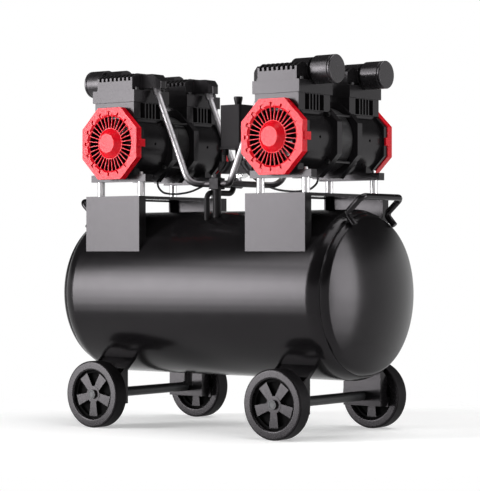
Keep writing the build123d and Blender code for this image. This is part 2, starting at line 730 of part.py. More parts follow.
def piston():
    """Rod and piston head at mid stroke, with the seal as a second solid."""
    top = CYLINDER_TOP - TOP_CLEARANCE - CRANK_THROW
    bottom = top - PISTON_HEIGHT
    seal_top = top - PISTON_RETAINER
    seal_bottom = seal_top - PISTON_SEAL_HEIGHT
    y = CYLINDER_OFFSET
    crown = BORE_RADIUS - PISTON_RELIEF
    near = y - BIG_END_WIDTH / 2
    far = y + BIG_END_WIDTH / 2
    shape = rod_z(crown, bottom, seal_bottom, y=y)
    shape += rod_z(PISTON_BOSS_RADIUS, bottom, top, y=y)
    shape += rod_z(crown, seal_top, top, y=y)
    shape += rod_y(BIG_END_BORE + BIG_END_WALL, near, far)
    shape += block(-ROD_WIDTH / 2, ROD_WIDTH / 2, near, far, BIG_END_BORE, bottom + PISTON_RETAINER)
    shape -= rod_y(BIG_END_BORE, near, far)
    seal = rod_z(BORE_RADIUS - RUNNING_FIT, seal_bottom, seal_top, y=y)
    seal -= rod_z(PISTON_BOSS_RADIUS + PRESS_GAP, seal_bottom, seal_top, y=y)
    return group([shape, seal])


def cylinder():
    half = CYLINDER_WIDTH / 2
    y = CYLINDER_OFFSET
    lower = DECK_HEIGHT + CYLINDER_PLATE
    upper = CYLINDER_TOP - CYLINDER_PLATE
    shape = block(-half, half, y - half, y + half, DECK_HEIGHT, lower)
    shape += block(-half, half, y - half, y + half, upper, CYLINDER_TOP)
    shape += rod_z(BORE_RADIUS + LINER_WALL, DECK_HEIGHT, CYLINDER_TOP, y=y)
    inner = half - COLUMN_WIDTH
    for x0 in (-half, inner):
        for y0 in (y - half, y + inner):
            shape += block(x0, x0 + COLUMN_WIDTH, y0, y0 + COLUMN_WIDTH, DECK_HEIGHT, CYLINDER_TOP)
    for near in (y - half, y + half - CYLINDER_FIN_WALL):
        shape += block(-half, half, near, near + CYLINDER_FIN_WALL, DECK_HEIGHT, CYLINDER_TOP)
    first = y - CYLINDER_FIN_PITCH * (CYLINDER_FIN_COUNT - 1) / 2
    for number in range(CYLINDER_FIN_COUNT):
        fin_y = first + number * CYLINDER_FIN_PITCH
        near = fin_y - CYLINDER_FIN_WALL / 2
        shape += block(-half, half, near, near + CYLINDER_FIN_WALL, DECK_HEIGHT, CYLINDER_TOP)
    return shape - rod_z(BORE_RADIUS, DECK_HEIGHT, CYLINDER_TOP, y=y)


def head_fins():
    """Cooling fins along the top of a head, sloping down at both ends."""
    y = CYLINDER_OFFSET
    half = HEAD_BLOCK_LENGTH / 2
    low = HEAD_BLOCK_TOP + HEAD_FIN_LOW
    high = low + HEAD_FIN_RISE
    side = [
        (y - half, HEAD_BLOCK_TOP - HEAD_FIN_SINK),
        (y - half, low),
        (y - half + HEAD_FIN_SLOPE, high),
        (y + half - HEAD_FIN_SLOPE, high),
        (y + half, low),
        (y + half, HEAD_BLOCK_TOP - HEAD_FIN_SINK),
    ]
    pitch = (HEAD_BLOCK_WIDTH - HEAD_FIN_WALL) / (HEAD_FIN_COUNT - 1)
    fins = []
    for number in range(HEAD_FIN_COUNT):
        start = -HEAD_BLOCK_WIDTH / 2 + number * pitch
        fins.append(profile_x(side, start, start + HEAD_FIN_WALL))
    return fins


def elbow():
    """Discharge elbow on the side of a head: bevelled on top, narrower and round at its tip."""
    root = PIPE_RADIUS - HEAD_BLOCK_WIDTH / 2
    tip = -HEAD_BLOCK_WIDTH / 2 - ELBOW_REACH
    top = ELBOW_BOTTOM + ELBOW_HEIGHT
    side = make_face(Polyline(
        (tip, ELBOW_BOTTOM),
        (tip, top - ELBOW_BEVEL),
        (tip + ELBOW_BEVEL, top),
        (root, top),
        (root, ELBOW_BOTTOM),
        close=True,
    ))
    plan = make_face(Polyline(
        (tip, -ELBOW_TIP_WIDTH / 2),
        (tip, ELBOW_TIP_WIDTH / 2),
        (root, ELBOW_WIDTH / 2),
        (root, -ELBOW_WIDTH / 2),
        close=True,
    ))
    plan = fillet(plan.vertices().sort_by(Axis.X)[:2], ELBOW_TIP_ROUND)
    outline = extrude(Plane.XZ * side, ELBOW_WIDTH, both=True)
    return outline & Pos(0, 0, ELBOW_BOTTOM) * extrude(plan, ELBOW_HEIGHT)


def head():
    y = CYLINDER_OFFSET
    half = HEAD_FLANGE_WIDTH / 2
    half_x = HEAD_BLOCK_WIDTH / 2
    half_y = HEAD_BLOCK_LENGTH / 2
    shape = block(-half, half, y - half, y + half, CYLINDER_TOP, HEAD_FLANGE_TOP)
    shape += block(-half_x, half_x, y - half_y, y + half_y, HEAD_FLANGE_TOP, HEAD_BLOCK_TOP)
    for fin in head_fins():
        shape += fin
    shape += rod_x(HOOD_RADIUS, half_x - HOOD_INSIDE, HOOD_END, y, HOOD_Z) & block(
        0, HOOD_END, y - half_y, y + half_y, HEAD_FLANGE_TOP, HOOD_Z + HOOD_RADIUS)
    shape += rod_x(NECK_RADIUS, HOOD_END, FILTER_START, y, HOOD_Z)
    return shape + Pos(0, y, 0) * elbow()


def intake_filter():
    y = CYLINDER_OFFSET
    end = FILTER_START + FILTER_LENGTH
    can = rod_x(FILTER_RADIUS, FILTER_START, end, y, HOOD_Z)
    rims = can.edges().filter_by(GeomType.CIRCLE).sort_by(Axis.X)
    can = chamfer(rims[-1], FILTER_EDGE)
    lid = end - FILTER_LID
    ring = rod_x(FILTER_RADIUS + FILTER_EDGE, lid, lid + FILTER_GROOVE_WIDTH, y, HOOD_Z)
    ring -= rod_x(FILTER_RADIUS - FILTER_GROOVE_DEPTH, lid, lid + FILTER_GROOVE_WIDTH, y, HOOD_Z)
    return can - ring


def head_bolts():
    x = (HEAD_FLANGE_WIDTH + HEAD_BLOCK_WIDTH) / 4
    bolts = []
    for side in (-x, x):
        for y in (-HEAD_BOLT_SPACING / 2, HEAD_BOLT_SPACING / 2):
            bolt = extrude(hexagon(HEAD_BOLT_RADIUS), HEAD_BOLT_HEIGHT)
            bolts.append(Pos(side, CYLINDER_OFFSET + y, HEAD_FLANGE_TOP) * bolt)
    return bolts


def tie_rods():
    """Four rods that clamp the two crankcases on the stator, with a nut at each end."""
    flange_end = STATOR_END + MOTOR_FLANGE_DEPTH
    nut_end = flange_end + TIE_NUT_LENGTH
    pieces = []
    for x, z in tie_rod_places():
        shape = rod_y(TIE_ROD_RADIUS, -nut_end, nut_end, x, z)
        nut = along_y(hexagon(TIE_NUT_RADIUS), flange_end, nut_end)
        shape += Pos(x, 0, z) * nut
        shape += Pos(x, 0, z) * mirror_y(nut)
        pieces.append(shape)
    return pieces


def polar(sketch, count, offset=0.0):
    return [Rot(0, 0, offset + 360 * turn / count) * sketch for turn in range(count)]


def fan_cover():
    cover = octagon(COVER_WIDTH, COVER_BACK, PUMP_END)
    cover -= rod_y(COVER_HOLLOW, COVER_BACK, GRILLE_FACE)
    cover -= rod_y(GRILLE_RADIUS, COVER_BACK, PUMP_END)
    mouth = Cone(GRILLE_RADIUS, GRILLE_RADIUS + GRILLE_BEVEL, COVER_FACE)
    cover -= Pos(0, GRILLE_FACE + COVER_FACE / 2, 0) * Rot(-90, 0, 0) * mouth
    notch_start = GRILLE_RADIUS + GRILLE_BEVEL / 2
    notch_reach = NOTCH_LENGTH + GRILLE_BEVEL / 2
    notch = Pos(notch_start + notch_reach / 2, 0) * Rectangle(notch_reach, NOTCH_WIDTH)
    for pocket in polar(notch, NOTCH_COUNT):
        cover -= along_y(pocket, PUMP_END - NOTCH_DEPTH, PUMP_END)
    bar_start = GRILLE_HUB_RADIUS - GRILLE_BEVEL
    bar_length = GRILLE_RADIUS + GRILLE_BEVEL - bar_start
    bar = Pos(bar_start + bar_length / 2, 0) * Rectangle(bar_length, GRILLE_BAR_WIDTH)
    web = Circle(GRILLE_HUB_RADIUS)
    for spoke in polar(bar, GRILLE_BAR_COUNT, 180 / GRILLE_BAR_COUNT):
        web += spoke
    cover += along_y(web, GRILLE_FACE - GRILLE_BAR_DEPTH / 2, GRILLE_FACE + GRILLE_BAR_DEPTH / 2)
    hub = Cone(GRILLE_HUB_RADIUS, GRILLE_DISC_RADIUS, GRILLE_HUB_RISE)
    cover += Pos(0, GRILLE_FACE + GRILLE_HUB_RISE / 2, 0) * Rot(-90, 0, 0) * hub
    clip_inside = COVER_WIDTH / 2 - END_FLANGE_STEP + SEAT_GAP
    clip_back = COVER_BACK - CLIP_REACH
    for x0 in (clip_inside, -clip_inside - CLIP_WALL):
        cover += block(
            x0, x0 + CLIP_WALL, clip_back, PUMP_END - COVER_FACE, -CLIP_HEIGHT / 2, CLIP_HEIGHT / 2)
    return cover


# Air pipes

def pipe_collar(y):
    """Collar round the top of a delivery pipe, in line with the pipe's slope."""
    top = Vector(PIPE_TOP_X, y, PIPE_TOP_Z)
    slope = Vector(PIPE_KNEE_X, y, HEADER_Z) - top
    return Plane(top, z_dir=slope) * Cylinder(PIPE_COLLAR_RADIUS, 2 * PIPE_COLLAR_LENGTH)


def discharge_pipes():
    """Front and rear delivery pipes of the right-hand pump, brazed together beside the cross."""
    end_x = CROSS_SIZE / 2
    top_y = CYLINDER_OFFSET
    lean = (PIPE_TOP_X - PIPE_KNEE_X) / (PIPE_TOP_Z - HEADER_Z)
    start_x = PIPE_TOP_X + lean * PIPE_COLLAR_LENGTH
    start_z = PIPE_TOP_Z + PIPE_COLLAR_LENGTH
    front = [
        (start_x, -top_y, start_z),
        (PIPE_KNEE_X, -top_y, HEADER_Z),
        (PIPE_JOIN_X, HEADER_Y, HEADER_Z),
        (end_x, HEADER_Y, HEADER_Z),
    ]
    rear = [
        (start_x, top_y, start_z),
        (PIPE_KNEE_X, top_y, HEADER_Z),
        (PIPE_JOIN_X, top_y - REAR_PIPE_TURN, HEADER_Z),
        (PIPE_JOIN_X, HEADER_Y, HEADER_Z),
    ]
    bends = [PIPE_KNEE_BEND, PIPE_JOIN_BEND]
    shape = tube_along(front, bends, PIPE_RADIUS) + tube_along(rear, bends, PIPE_RADIUS)
    for y in (-top_y, top_y):
        shape += pipe_collar(y)
    reach = 2 * PIPE_COLLAR_LENGTH
    side = top_y + reach
    near = PIPE_TOP_X - reach
    far = PIPE_TOP_X + reach
    return shape - block(near, far, -side, side, PIPE_TOP_Z, PIPE_TOP_Z + reach)


def check_valve():
    half = CROSS_SIZE / 2
    shape = block(-half, half, HEADER_Y - half, HEADER_Y + half, HEADER_Z - half, HEADER_Z + half)
    shape += rod_z(CHECK_RISER_RADIUS, TANK_AXIS, HEADER_Z, 0, HEADER_Y)
    cap = extrude(hexagon(CHECK_CAP_RADIUS), CHECK_CAP_HEIGHT)
    shape += Pos(0, HEADER_Y, HEADER_Z + half) * cap
    return shape - tank_space()


def control_manifold():
    """Riser from the tank, led back under the bar that carries switch, gauge and valves."""
    half = MANIFOLD_LENGTH / 2
    run_z = TANK_TOP + CONTROL_PIPE_ABOVE_TANK
    riser = tube_along(
        [
            (CONTROL_PIPE_X, CONTROL_PIPE_Y, TANK_AXIS),
            (CONTROL_PIPE_X, CONTROL_PIPE_Y, run_z),
            (CONTROL_PIPE_X, NIPPLE_Y, run_z),
            (CONTROL_PIPE_X, NIPPLE_Y, MANIFOLD_Z),
        ],
        [CONTROL_PIPE_BEND, CONTROL_PIPE_BEND],
        CONTROL_PIPE_RADIUS,
    )
    shape = riser - tank_space()
    shape += block(-half, half, 0, MANIFOLD_DEPTH, MANIFOLD_BOTTOM, MANIFOLD_TOP)
    shape += rod_z(NIPPLE_RADIUS, MANIFOLD_TOP, SWITCH_BOTTOM, 0, NIPPLE_Y)
    plug = Rot(0, -90, 0) * extrude(hexagon(PLUG_RADIUS), PLUG_LENGTH)
    return shape + Pos(-half, NIPPLE_Y, MANIFOLD_Z) * plug


# Pressure switch

def switch_base():
    half_x = SWITCH_WIDTH / 2
    half_y = SWITCH_LENGTH / 2
    floor = SWITCH_BOTTOM + SWITCH_BASE
    shape = block(-half_x, half_x, SWITCH_Y - half_y, SWITCH_Y + half_y, SWITCH_BOTTOM, floor)
    contact_x = CONTACT_WIDTH / 2
    contact_y = CONTACT_LENGTH / 2
    shape += block(
        -contact_x, contact_x, SWITCH_Y - contact_y, SWITCH_Y + contact_y, floor, floor + CONTACT_HEIGHT)
    for x in (-GLAND_X, GLAND_X):
        shape += rod_z(GLAND_RADIUS, SWITCH_BOTTOM - GLAND_LENGTH, SWITCH_BOTTOM, x, GLAND_Y)
    return shape


def switch_cover():
    half_x = SWITCH_WIDTH / 2
    half_y = SWITCH_LENGTH / 2
    floor = SWITCH_BOTTOM + SWITCH_BASE
    shape = block(-half_x, half_x, SWITCH_Y - half_y, SWITCH_Y + half_y, floor, SWITCH_TOP)
    shape = fillet(shape.edges().filter_by(Axis.Z), SWITCH_CORNER)
    shape -= block(
        -half_x + SWITCH_WALL, half_x - SWITCH_WALL,
        SWITCH_Y - half_y + SWITCH_WALL, SWITCH_Y + half_y - SWITCH_WALL,
        floor, SWITCH_TOP - SWITCH_WALL,
    )
    return shape - rod_z(KNOB_STEM_RADIUS + SLIDE_GAP, floor, SWITCH_TOP, 0, SWITCH_Y)


def switch_knob():
    bottom = SWITCH_TOP + SEAT_GAP
    flare = bottom + KNOB_FLARE
    top = bottom + KNOB_HEIGHT
    outline = make_face(Polyline(
        (0, bottom),
        (KNOB_WAIST, bottom),
        (KNOB_RADIUS, flare),
        (KNOB_RADIUS, top - KNOB_EDGE),
        (KNOB_RADIUS - KNOB_EDGE, top),
        (0, top),
        close=True,
    ))
    button = revolve(Plane.XZ * outline, axis=Axis.Z)
    shape = button + rod_z(KNOB_STEM_RADIUS, bottom - KNOB_STEM_LENGTH, bottom)
    return Pos(0, SWITCH_Y, 0) * shape


# Gauge, valves and drain

def gauge_case():
    front = GAUGE_BACK + GAUGE_DEPTH
    shape = rod_y(GAUGE_RADIUS, GAUGE_BACK, front)
    shape -= rod_y(GAUGE_RADIUS - GAUGE_WALL, DIAL_Y, front)
    shape += rod_y(GAUGE_STEM_RADIUS, MANIFOLD_DEPTH, GAUGE_BACK)
    shape += rod_y(GAUGE_PIN_RADIUS, DIAL_Y, DIAL_Y + GAUGE_PIN_LENGTH)
    return Pos(GAUGE_X, 0, MANIFOLD_Z) * shape


def gauge_needle():
    front = NEEDLE_Y + NEEDLE_HEIGHT
    half = NEEDLE_WIDTH / 2
    shape = block(-half, half, NEEDLE_Y, front, -NEEDLE_TAIL, NEEDLE_LENGTH)
    shape += rod_y(NEEDLE_HUB_RADIUS, NEEDLE_Y, front)
    shape -= rod_y(GAUGE_PIN_RADIUS + RUNNING_FIT, NEEDLE_Y, front)
    return Pos(GAUGE_X, 0, MANIFOLD_Z) * Rot(0, NEEDLE_ZERO, 0) * shape


def safety_valve():
    hex_end = SAFETY_START + SAFETY_HEX_LENGTH
    nut = Rot(0, 90, 0) * extrude(hexagon(SAFETY_HEX_RADIUS), SAFETY_HEX_LENGTH)
    shape = Pos(SAFETY_START, NIPPLE_Y, MANIFOLD_Z) * nut
    shape += rod_x(SAFETY_BODY_RADIUS, hex_end, SAFETY_END, NIPPLE_Y, MANIFOLD_Z)
    hole = SAFETY_STEM_RADIUS + RUNNING_FIT
    return shape - rod_x(hole, SAFETY_END - SAFETY_STEM_DEPTH, SAFETY_END, NIPPLE_Y, MANIFOLD_Z)


def safety_ring():
    stem_end = SAFETY_END + SAFETY_STEM_OUT
    inside = SAFETY_END - SAFETY_STEM_DEPTH + SEAT_GAP
    shape = rod_x(SAFETY_STEM_RADIUS, inside, stem_end, NIPPLE_Y, MANIFOLD_Z)
    ring = Rot(90, 0, 0) * Torus(SAFETY_RING_RADIUS, SAFETY_WIRE_RADIUS)
    return shape + Pos(stem_end + SAFETY_RING_RADIUS, NIPPLE_Y, MANIFOLD_Z) * ring


def outlet_valve():
    mouth = OUTLET_END + COUPLER_LENGTH
    shape = rod_y(OUTLET_RADIUS, MANIFOLD_DEPTH, OUTLET_END, OUTLET_X, MANIFOLD_Z)
    shape += rod_y(COUPLER_RADIUS, OUTLET_END, mouth, OUTLET_X, MANIFOLD_Z)
    shape += rod_z(OUTLET_STEM_RADIUS, MANIFOLD_Z, LEVER_Z + LEVER_THICKNESS, OUTLET_X, LEVER_Y)
    return shape - rod_y(OUTLET_BORE, mouth - OUTLET_BORE_DEPTH, mouth, OUTLET_X, MANIFOLD_Z)


def outlet_lever():
    half = LEVER_WIDTH / 2
    end_y = LEVER_Y + LEVER_LENGTH
    top = LEVER_Z + LEVER_THICKNESS
    shape = block(OUTLET_X - half, OUTLET_X + half, LEVER_Y, end_y, LEVER_Z, top)
    shape += rod_z(half, LEVER_Z, top, OUTLET_X, LEVER_Y)
    return shape - rod_z(OUTLET_STEM_RADIUS + RUNNING_FIT, LEVER_Z, top, OUTLET_X, LEVER_Y)


def drain_valve():
    bottom = TANK_CLEARANCE - DRAIN_LENGTH
    shape = rod_z(DRAIN_RADIUS, bottom, TANK_AXIS, DRAIN_X) - tank_space()
    hole = DRAIN_STEM_RADIUS + RUNNING_FIT
    return shape - rod_z(hole, bottom, bottom + DRAIN_STEM_DEPTH + SEAT_GAP, DRAIN_X)


def drain_key():
    valve_bottom = TANK_CLEARANCE - DRAIN_LENGTH
    top = valve_bottom - SEAT_GAP
    half = DRAIN_KEY_LENGTH / 2
    thin = DRAIN_KEY_WIDTH / 2
    shape = block(-half, half, -thin, thin, top - DRAIN_KEY_HEIGHT, top)
    shape += rod_z(DRAIN_STEM_RADIUS, top - DRAIN_KEY_HEIGHT / 2, valve_bottom + DRAIN_STEM_DEPTH)
    return Pos(DRAIN_X, 0, 0) * shape


# Motor leads

def lead_bends(points):
    """Bend radii of a lead, each as large as its two runs allow."""
    bends = []
    for before, corner, after in zip(points, points[1:], points[2:]):
        arriving = Vector(*corner) - Vector(*before)
        leaving = Vector(*after) - Vector(*corner)
        half_turn = radians(arriving.get_angle(leaving)) / 2
        bends.append(LEAD_BEND_SHARE * min(arriving.length, leaving.length) / tan(half_turn))
    return bends


def motor_lead():
    """Lead from the underside of the right-hand motor to its gland on the switch."""
    motor = SHAFT_Z - STATOR_RADIUS - SEAT_GAP
    gland = SWITCH_BOTTOM - GLAND_LENGTH
    route = [(x, y, SADDLE_TOP + height) for x, y, height in LEAD_ROUTE]
    points = [(PUMP_X, 0, motor), (PUMP_X, 0, motor - LEAD_DROP)] + route + [(GLAND_X, GLAND_Y, gland)]
    bends = lead_bends(points)
    print("lead bend radii", [round(bend, 1) for bend in bends])
    return tube_along(points, bends, LEAD_RADIUS)


# Tank, carriage and controls
nodes["tank_shell"] = tank_shell()
right_end = tank_end()
nodes["tank_end_right"] = right_end
nodes["tank_end_left"] = mirror_x(right_end)

one_leg = leg()
rear_legs = [one_leg, mirror_x(one_leg)]
nodes["legs"] = group(rear_legs + [mirror_y(shape) for shape in rear_legs])

one_axle = axle()
one_cap = axle_cap()
right_axle = [one_axle, one_cap, mirror_y(one_cap)]
nodes["axles"] = group(right_axle + [mirror_x(shape) for shape in right_axle])

one_tyre = tyre()
one_hub = wheel_hub()
for end in ENDS:
    for side in SIDES:
        for name, shape in (("tyre", one_tyre), ("wheel_hub", one_hub)):
            turned = mirror_y(shape) if end == "front" else shape
            nodes[f"{name}_{end}_{side}"] = mirror_x(turned) if side == "left" else turned

one_handle = handle()
one_saddle = saddle()
one_pipe_set = discharge_pipes()
for side in SIDES:
    nodes[f"handle_{side}"] = mirror_x(one_handle) if side == "left" else one_handle
    nodes[f"saddle_{side}"] = mirror_x(one_saddle) if side == "left" else one_saddle
    nodes[f"discharge_pipes_{side}"] = mirror_x(one_pipe_set) if side == "left" else one_pipe_set

nodes["pump_posts"] = posts()
nodes["check_valve"] = check_valve()
nodes["control_manifold"] = control_manifold()
nodes["switch_base"] = switch_base()
nodes["switch_cover"] = switch_cover()
nodes["switch_knob"] = switch_knob()
nodes["gauge_case"] = gauge_case()
nodes["gauge_needle"] = gauge_needle()
nodes["safety_valve"] = safety_valve()
nodes["safety_ring"] = safety_ring()
nodes["outlet_valve"] = outlet_valve()
nodes["outlet_lever"] = outlet_lever()
nodes["drain_valve"] = drain_valve()
nodes["drain_key"] = drain_key()
one_lead = motor_lead()
nodes["motor_leads"] = group([one_lead, mirror_x(one_lead)])

# Pumps
both_ends = {
    "cylinders": cylinder(),
    "cylinder_heads": head(),
    "intake_filters": intake_filter(),
    "cooling_fans": cooling_fan(),
}
each_end = {"crankcase": crankcase(), "fan_cover": fan_cover(), "piston": piston()}
whole = {"stator": stator(), "rotor": rotor()}
one_bearing = bearing()
bolts = []
bearings = []
for side in SIDES:
    for name, shape in whole.items():
        nodes[f"{name}_{side}"] = placed(shape, side)
    for name, shape in both_ends.items():
        nodes[f"{name}_{side}"] = group([placed(shape, side, end) for end in ENDS])
    for name, shape in each_end.items():
        for end in ENDS:
            nodes[f"{name}_{end}_{side}"] = placed(shape, side, end)
    bolts.extend(placed(shape, side) for shape in tie_rods())
    for end in ENDS:
        bolts.extend(placed(shape, side, end) for shape in head_bolts())
        bearings.append(placed(one_bearing, side, end))
nodes["pump_bolts"] = group(bolts)
nodes["shaft_bearings"] = group(bearings)

os.makedirs("parts", exist_ok=True)
for name, shape in nodes.items():
    export_step(shape, f"parts/{name}.step")
print(len(nodes), "nodes")
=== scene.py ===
import json
from math import cos, hypot, pi, radians, sin

import bmesh
import bpy
from mathutils import Matrix, Vector


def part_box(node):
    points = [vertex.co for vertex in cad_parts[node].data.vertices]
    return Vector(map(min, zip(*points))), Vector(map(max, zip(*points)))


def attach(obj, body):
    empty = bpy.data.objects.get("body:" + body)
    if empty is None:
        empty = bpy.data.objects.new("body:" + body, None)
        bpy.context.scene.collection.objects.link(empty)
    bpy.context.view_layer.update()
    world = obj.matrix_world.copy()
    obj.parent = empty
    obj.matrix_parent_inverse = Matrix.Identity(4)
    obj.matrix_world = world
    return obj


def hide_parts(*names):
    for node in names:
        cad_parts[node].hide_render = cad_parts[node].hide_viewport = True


# Wheeled air compressor with two twin-head pumps. Metres, in the part's own frame.

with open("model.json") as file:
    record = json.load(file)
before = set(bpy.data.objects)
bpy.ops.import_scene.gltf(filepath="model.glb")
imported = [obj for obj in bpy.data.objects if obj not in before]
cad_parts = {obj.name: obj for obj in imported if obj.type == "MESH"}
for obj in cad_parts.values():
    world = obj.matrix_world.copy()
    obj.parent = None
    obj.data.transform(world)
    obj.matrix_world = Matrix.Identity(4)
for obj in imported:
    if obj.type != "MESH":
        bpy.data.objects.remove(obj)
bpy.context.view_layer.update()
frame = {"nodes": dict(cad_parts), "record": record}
nodes = frame["nodes"]
record = frame["record"]
slot_of = {part["node"]: part["material_slot"] for part in record["subparts"]}
body_of = {node: body for body, names in record["behaviour"]["bodies"].items() for node in names}
ENDS = ("front", "rear")
SIDES = ("left", "right")

# Camera: the photograph's level view from the front right
VIEW_AZIMUTH = radians(37.62)
VIEW_DISTANCE = 3.868
VIEW_HEIGHT = 0.345
IMAGE_HEIGHT = 491
FOCAL_PIXELS = 1981.8
AXIS_PIXELS_LEFT = 4.7
HORIZON_PIXELS_DOWN = 5.2
SENSOR = 36.0

# Stage and light
FLOOR_RADIUS = 6.0
FLOOR_SIDES = 96
FLOOR_SOLID = 0.45
FLOOR_GONE = 0.95
FLOOR_COLOUR = (0.72, 0.72, 0.72)
FLOOR_GLOW = 0.4
FLOOR_ROUGHNESS = 0.9
SKY_WHITE_BELOW = 0.14
SKY_DARK_ABOVE = 0.3
SKY_DARK = 0.05
# Key and strip are stacks of panels, as (height, radiance), each a little behind the one before
PANEL_STAGGER = 0.01
KEY_X = -2.74
KEY_Y = -3.56
KEY_HEIGHT = 1.0
KEY_WIDTH = 1.5
KEY_PANELS = [(1.1, 4.4), (2.2, 5.1), (3.4, 5.7), (4.8, 3.8)]
STRIP_X = 2.35
STRIP_Y = 0.69
STRIP_HEIGHT = 0.55
STRIP_WIDTH = 0.85
STRIP_PANELS = [(0.8, 3.0), (1.5, 2.8), (2.2, 2.6), (2.9, 2.2)]
STRIP_TARGET = (0.33, -0.08, 0.3)
RISE_HEIGHT = 4.1
RISE_LENGTH = 1.8
RISE_RADIANCE = 5.5
TOP_RADIANCE = 3.4
TOP_SIDE = 3.6
TOP_PLACE = (1.3, 0.5, 4.0)
MACHINE_MIDDLE = (0.0, 0.0, 0.2)

# Rounded edges of the sheet, cast and moulded pieces
WELD_DISTANCE = 2e-6
FLAT_ANGLE = radians(1.0)
EDGE_ANGLE = radians(28.0)
SMOOTH_ANGLE = radians(40.0)
POLE_DISTANCE = 5e-5
ROUNDING_STEPS = 2
ROUNDING_PROFILE = 0.5
EDGE_ROUNDING = {
    "tank_end": 0.0,
    "tank_shell": 0.0,
    "tyre": 0.0,
    "handle": 0.0,
    "legs": 0.0008,
    "axles": 0.0005,
    "saddle": 0.0010,
    "pump_posts": 0.0004,
    "wheel_hub": 0.0008,
    "crankcase": 0.0010,
    "cylinders": 0.0006,
    "cylinder_heads": 0.0010,
    "intake_filters": 0.0006,
    "fan_cover": 0.0006,
    "stator": 0.0004,
    "pump_bolts": 0.0004,
    "check_valve": 0.0008,
    "control_manifold": 0.0008,
    "switch_base": 0.0008,
    "switch_cover": 0.0008,
    "gauge_case": 0.0004,
    "safety_valve": 0.0004,
    "outlet_valve": 0.0005,
    "outlet_lever": 0.0005,
    "drain_valve": 0.0005,
    "drain_key": 0.0005,
}


# Materials
WHITE = (1.0, 1.0, 1.0, 1.0)
GLOSS_TINT = (1.0, 0.94, 1.0, 1.0)
MIX_FACTOR = 0
MIX_FIRST = 6
MIX_SECOND = 7
MIX_RESULT = 2
NOISE_LOW = 0.3
NOISE_HIGH = 0.7
CLOUD_DETAIL = 4.0
SMEAR_DETAIL = 3.0
GRAIN_DETAIL = 2.0
SMEARS_PER_CLOUD = 4
EDGE_SAMPLES = 4
EDGE_TINT_FULL = 0.75
EDGE_WHOLE = 0.98
WAVE_RADIANS = 20.0
PITCH_PER_GROOVE_DEPTH = 6
GLASS_TINT = (0.95, 0.97, 0.97)
GLASS_INDEX = 1.45


def link(tree, source, output, target, name):
    tree.links.new(source.outputs[output], target.inputs[name])


def noise(tree, coordinates, size, detail):
    texture = tree.nodes.new("ShaderNodeTexNoise")
    texture.inputs["Scale"].default_value = 1 / size
    texture.inputs["Detail"].default_value = detail
    link(tree, coordinates, "Vector", texture, "Vector")
    return texture


def ranged(tree, source, output, low, high, from_low=NOISE_LOW, from_high=NOISE_HIGH):
    scale = tree.nodes.new("ShaderNodeMapRange")
    scale.inputs["From Min"].default_value = from_low
    scale.inputs["From Max"].default_value = from_high
    scale.inputs["To Min"].default_value = low
    scale.inputs["To Max"].default_value = high
    link(tree, source, output, scale, "Value")
    return scale


def shade(colour, factor):
    return tuple(min(1.0, channel * factor) for channel in colour) + (1.0,)


def mixed(tree, factor, factor_output, first, second):
    mix = tree.nodes.new("ShaderNodeMix")
    mix.data_type = "RGBA"
    mix.inputs[MIX_FIRST].default_value = first
    mix.inputs[MIX_SECOND].default_value = second
    tree.links.new(factor.outputs[factor_output], mix.inputs[MIX_FACTOR])
    return mix


def object_coordinates(tree, stretch):
    place = tree.nodes.new("ShaderNodeTexCoord")
    mapping = tree.nodes.new("ShaderNodeMapping")
    mapping.inputs["Scale"].default_value = stretch
    link(tree, place, "Object", mapping, "Vector")
    return mapping


def edge_mask(tree, width):
    """1 along sharp edges, 0 on flat ground."""
    rounded = tree.nodes.new("ShaderNodeBevel")
    rounded.samples = EDGE_SAMPLES
    rounded.inputs["Radius"].default_value = width
    plain = tree.nodes.new("ShaderNodeNewGeometry")
    compare = tree.nodes.new("ShaderNodeVectorMath")
    compare.operation = "DOT_PRODUCT"
    tree.links.new(rounded.outputs["Normal"], compare.inputs[0])
    tree.links.new(plain.outputs["Normal"], compare.inputs[1])
    return ranged(tree, compare, "Value", 1.0, 0.0, EDGE_TINT_FULL, EDGE_WHOLE)


def surface(name, colour, roughness, metal=0.0, specular=0.5, mottle=0.12, mottle_size=0.03,
            spread=0.05, grain_size=0.0008, grain_depth=0.00002, stretch=(1, 1, 1), edge_wear_and_highlight=None):
    """Material whose colour, gloss and surface vary at the scales of the real finish."""
    material = bpy.data.materials.new(name)
    material.use_nodes = True
    tree = material.node_tree
    shader = tree.nodes["Principled BSDF"]
    shader.inputs["Metallic"].default_value = metal
    shader.inputs["Specular IOR Level"].default_value = specular
    if metal == 0.0:
        shader.inputs["Specular Tint"].default_value = GLOSS_TINT
    coordinates = object_coordinates(tree, stretch)
    cloud = noise(tree, coordinates, mottle_size, CLOUD_DETAIL)
    spots = ranged(tree, cloud, "Fac", 0.0, 1.0)
    tint = mixed(tree, spots, "Result", shade(colour, 1 - mottle), shade(colour, 1 + mottle))
    # Lighter sharp edges: partly wear, partly a painted highlight
    if edge_wear_and_highlight:
        edges = edge_mask(tree, edge_wear_and_highlight[1])
        worn_and_lit_edges = mixed(tree, edges, "Result", shade(colour, 1), shade(edge_wear_and_highlight[0], 1))
        tree.links.new(tint.outputs[MIX_RESULT], worn_and_lit_edges.inputs[MIX_FIRST])
        tint = worn_and_lit_edges
    tree.links.new(tint.outputs[MIX_RESULT], shader.inputs["Base Color"])
    smears = noise(tree, coordinates, mottle_size / SMEARS_PER_CLOUD, SMEAR_DETAIL)
    gloss = ranged(tree, smears, "Fac", roughness - spread, roughness + spread)
    link(tree, gloss, "Result", shader, "Roughness")
    grain = noise(tree, coordinates, grain_size, GRAIN_DETAIL)
    bump = tree.nodes.new("ShaderNodeBump")
    bump.inputs["Distance"].default_value = grain_depth
    link(tree, grain, "Fac", bump, "Height")
    link(tree, bump, "Normal", shader, "Normal")
    return material


